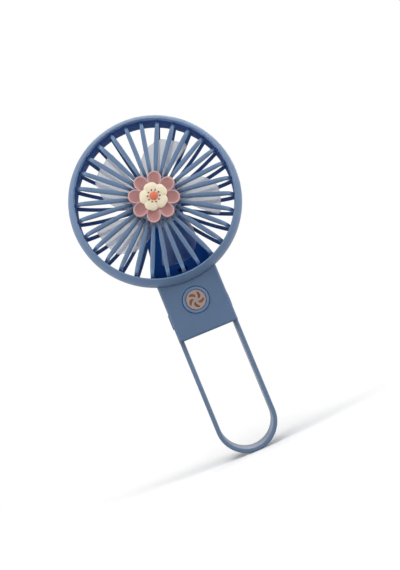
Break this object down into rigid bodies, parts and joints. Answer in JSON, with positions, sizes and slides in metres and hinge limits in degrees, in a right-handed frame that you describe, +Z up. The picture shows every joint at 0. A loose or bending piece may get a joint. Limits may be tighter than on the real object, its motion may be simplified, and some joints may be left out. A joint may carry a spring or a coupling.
{
  "type": "mini desk fan",
  "caption": "Rechargeable mini fan: caged round head with a bladed impeller on a small battery housing, with a push button and a loop handle that folds back as a stand.",
  "frame": {"origin": "middle of the box at its bottom, which is the lowest point of the hanging loop handle", "axes": "+Z up along the loop, housing and head; the fan blows towards -Y; +X to the right seen from the front"},
  "size_m": [0.0932, 0.0378, 0.1899],
  "materials": {
    "shell_blue": "satin moulded plastic, greyish blue",
    "shell_navy": "satin moulded plastic, navy blue",
    "blade_white": "milky translucent plastic",
    "petal_pink": "soft matt plastic, dusty pink",
    "petal_cream": "soft matt plastic, cream",
    "coral": "soft matt plastic, coral",
    "brown": "soft matt plastic, dark brown",
    "button_beige": "matt plastic, warm beige",
    "black_plastic": "moulded black plastic",
    "board_green": "solder mask on glass fibre",
    "steel": "plated steel",
    "iron": "stacked laminations and ferrite",
    "copper_wire": "enamelled copper",
    "bronze": "sintered bronze and brass",
    "wire_red": "insulated lead, red",
    "wire_black": "insulated lead, black",
    "cell_foil": "laminate foil pouch",
    "foam": "foam tape"
  },
  "bodies": {
    "fan_body": {"front_grille": "shell_blue", "rear_shell": "shell_navy", "housing_front": "shell_blue", "back_cover": "shell_navy", "flower_badge": "petal_pink", "blossom_petals": "petal_cream", "blossom_eye": "coral", "stamen_dots": "brown", "motor_can": "steel", "motor_end_cap": "black_plastic", "motor_magnets": "iron", "motor_bush_front": "bronze", "motor_bush_rear": "bronze", "motor_terminals": "bronze", "motor_lead_red": "wire_red", "motor_lead_black": "wire_black", "circuit_board": "board_green", "board_chips": "black_plastic", "tact_switch": "black_plastic", "usb_shell": "steel", "usb_tongue": "black_plastic", "battery_cell": "cell_foil", "battery_pad": "foam", "battery_lead_red": "wire_red", "battery_lead_black": "wire_black", "cover_screws": "steel", "hinge_pin_left": "shell_blue", "hinge_pin_right": "shell_blue", "friction_washer_left": "steel", "friction_washer_right": "steel"},
    "rotor": {"impeller": "blade_white", "motor_shaft": "steel", "armature_core": "iron", "armature_windings": "copper_wire", "commutator": "copper_wire"},
    "button": {"button_cap": "shell_blue", "button_inlay": "button_beige", "switch_plunger": "black_plastic"},
    "handle": {"loop_handle": "shell_blue"}
  },
  "joints": [
    {"name": "fan_spin", "type": "hinge", "parent": "fan_body", "child": "rotor", "pos_m": [0, 0, 0.14325], "axis": [0, -1, 0], "continuous": true},
    {"name": "button_press", "type": "slide", "parent": "fan_body", "child": "button", "axis": [0, 1, 0], "range_m": [0, 0.0006], "stiffness_N_per_m": 300, "springref_m": -0.0005},
    {"name": "handle_fold", "type": "hinge", "parent": "fan_body", "child": "handle", "pos_m": [0, 0.0074, 0.08], "axis": [1, 0, 0], "range_deg": [0, 100]}
  ]
}
